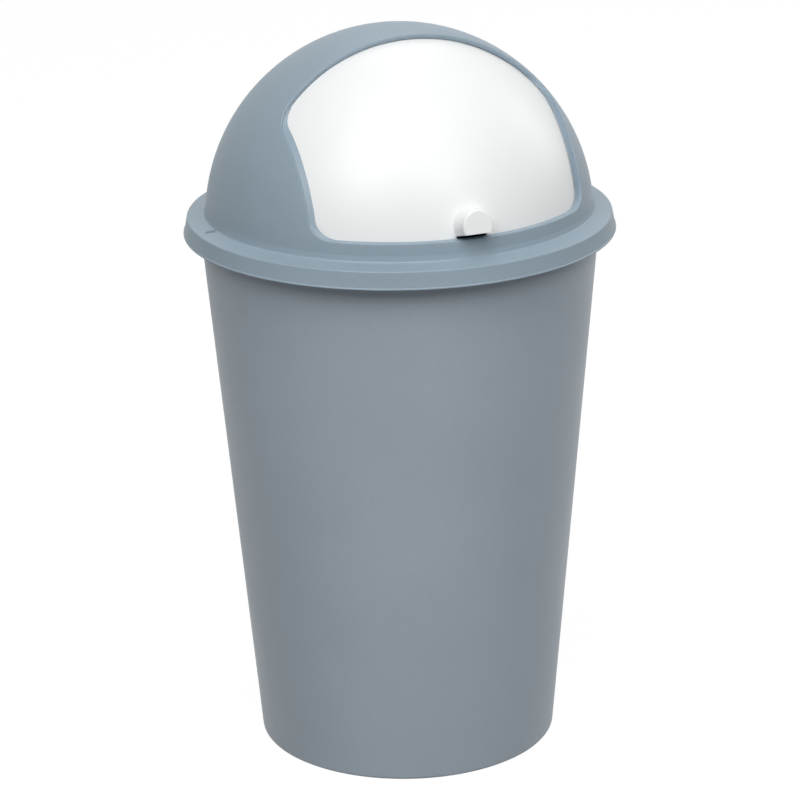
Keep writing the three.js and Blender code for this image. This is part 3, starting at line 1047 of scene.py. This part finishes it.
def studio_floor(context, look):
    """A grey floor that takes the object's shadow and looks white to the camera."""
    material = bpy.data.materials.new("studio_floor")
    material.use_nodes = True
    nodes, links = material.node_tree.nodes, material.node_tree.links
    diffuse = nodes["Principled BSDF"]
    socket(diffuse, "Base Color", (*look.floor, 1.0))
    socket(diffuse, "Roughness", look.floor_roughness)
    glow = nodes.new("ShaderNodeEmission")
    socket(glow, "Color", WHITE)
    socket(glow, "Strength", look.floor_glow)
    factor = nodes.new("ShaderNodeMath")
    factor.operation = "MULTIPLY"
    socket(factor, 1, look.floor_white)
    links.new(shown_rays(nodes, links), factor.inputs[0])
    mixed = shown_instead(nodes, links, diffuse.outputs["BSDF"], glow, factor.outputs["Value"])
    links.new(mixed, nodes["Material Output"].inputs["Surface"])
    bm = bmesh.new()
    bmesh.ops.create_grid(bm, x_segments=1, y_segments=1, size=look.floor_half)
    mesh = bpy.data.meshes.new("studio_floor")
    bm.to_mesh(mesh)
    bm.free()
    mesh.materials.append(material)
    floor = bpy.data.objects.new("studio_floor", mesh)
    context.scene.collection.objects.link(floor)


def studio_sky(context, look):
    """Faint light from all round, which looks white to the camera."""
    world = bpy.data.worlds.new("studio")
    world.use_nodes = True
    context.scene.world = world
    nodes, links = world.node_tree.nodes, world.node_tree.links
    sky = nodes["Background"]
    socket(sky, "Color", WHITE)
    socket(sky, "Strength", look.sky)
    white = nodes.new("ShaderNodeBackground")
    socket(white, "Color", WHITE)
    socket(white, "Strength", 1.0)
    shown = shown_rays(nodes, links)
    mixed = shown_instead(nodes, links, sky.outputs["Background"], white, shown)
    links.new(mixed, nodes["World Output"].inputs["Surface"])


def studio_camera(context, look):
    """The camera, placed as the photo's was."""
    data = bpy.data.cameras.new("camera")
    data.lens = look.lens
    data.clip_end = CAMERA_FAR
    camera = bpy.data.objects.new("camera", data)
    context.scene.collection.objects.link(camera)
    camera.matrix_world = (
        Matrix.Translation(CAMERA_PLACE)
        @ Matrix.Rotation(CAMERA_ASIDE, 4, "Z")
        @ Matrix.Rotation(CAMERA_DOWN, 4, "X")
        @ Matrix.Rotation(CAMERA_ROLL, 4, "Z")
    )
    context.scene.camera = camera


class WASTEBIN_OT_stage(bpy.types.Operator):
    """Sets the pale floor, the soft studio light and the camera"""

    bl_idname = "waste_bin.stage"
    bl_label = "Stage"

    def execute(self, context):
        look = context.scene.waste_bin_stage
        studio_floor(context, look)
        studio_sky(context, look)
        for name, place, power in LAMPS:
            area_lamp(context, name, place, power)
        studio_camera(context, look)
        context.scene.view_settings.view_transform = "Standard"
        return {"FINISHED"}


OPERATORS = (
    WASTEBIN_OT_bucket,
    WASTEBIN_OT_lid,
    WASTEBIN_OT_flap,
    WASTEBIN_OT_pull,
    WASTEBIN_OT_pins,
    WASTEBIN_OT_stage,
)


class WASTEBIN_PT_panel(bpy.types.Panel):
    """Lists the bin's pieces and their sizes"""

    bl_idname = "WASTEBIN_PT_panel"
    bl_label = "Waste bin"
    bl_space_type = "VIEW_3D"
    bl_region_type = "UI"
    bl_category = "Waste bin"

    def draw(self, context):
        column = self.layout.column(align=True)
        for operator in OPERATORS:
            column.operator(operator.bl_idname)
        for name, group in GROUPS.items():
            box = self.layout.box()
            box.label(text=group.__doc__.rstrip("."))
            for size in group.__annotations__:
                box.prop(getattr(context.scene, name), size)


CLASSES = (*GROUPS.values(), *OPERATORS, WASTEBIN_PT_panel)


def register():
    """Makes the classes known to Blender and gives the scene their sizes."""
    for kind in CLASSES:
        bpy.utils.register_class(kind)
    for name, group in GROUPS.items():
        setattr(bpy.types.Scene, name, PointerProperty(type=group))


def unregister():
    """Takes back what register made known."""
    for name in GROUPS:
        delattr(bpy.types.Scene, name)
    for kind in reversed(CLASSES):
        bpy.utils.unregister_class(kind)


def main():
    """Builds every piece and the stage."""
    register()
    for operator in OPERATORS:
        group, action = operator.bl_idname.split(".")
        getattr(getattr(bpy.ops, group), action)()


if __name__ == "__main__":
    main()
